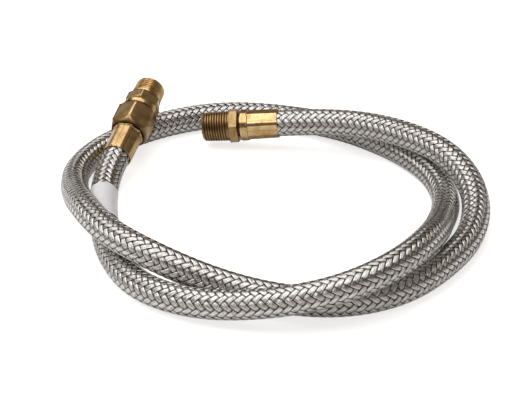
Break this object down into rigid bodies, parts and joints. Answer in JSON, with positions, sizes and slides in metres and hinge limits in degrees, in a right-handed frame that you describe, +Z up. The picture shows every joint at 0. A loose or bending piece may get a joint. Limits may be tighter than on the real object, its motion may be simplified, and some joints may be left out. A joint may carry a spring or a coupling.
{
  "type": "braided water hose",
  "caption": "Stainless-braided flexible water hose in a loose coil, with a fixed male pipe end and a union end whose nut turns.",
  "frame": {"origin": "centre of the coil's bounding box, on the floor that it lies on", "axes": "+Z up, -Y towards the picture's viewer, so both ends lie at the back (+Y) and the union end at the left (-X)"},
  "size_m": [0.2824, 0.2928, 0.0487],
  "materials": {
    "braid_sleeve": "woven bright wire",
    "hose_liner": "matt",
    "hose_label": "satin white film",
    "fixed_ferrule": "machined, slightly worn",
    "swivel_ferrule": "machined, slightly worn",
    "fixed_stem": "machined, slightly worn",
    "swivel_stem": "machined, slightly worn",
    "union_nut": "machined, slightly worn",
    "union_adapter": "machined, slightly worn"
  },
  "bodies": {
    "hose": {"braid_sleeve": "braid_sleeve", "hose_liner": "hose_liner", "hose_label": "hose_label", "fixed_ferrule": "fixed_ferrule", "swivel_ferrule": "swivel_ferrule", "fixed_stem": "fixed_stem", "swivel_stem": "swivel_stem"},
    "union_nut": {"union_nut": "union_nut"},
    "union_adapter": {"union_adapter": "union_adapter"}
  },
  "joints": [
    {"name": "union_nut_turn", "type": "hinge", "parent": "hose", "child": "union_nut", "pos_m": [-0.09575, 0.0858, 0.02806], "axis": [-0.2885, -0.9068, -0.3074], "range_deg": [0, 1800]},
    {"name": "union_adapter_out", "type": "slide", "parent": "hose", "child": "union_adapter", "axis": [0.2885, 0.9068, 0.3074], "range_m": [0, 0.0091]}
  ],
  "couplings": [
    {"joint": "union_adapter_out", "follows": "union_nut_turn", "m_per_rad": 0.00028871}
  ]
}
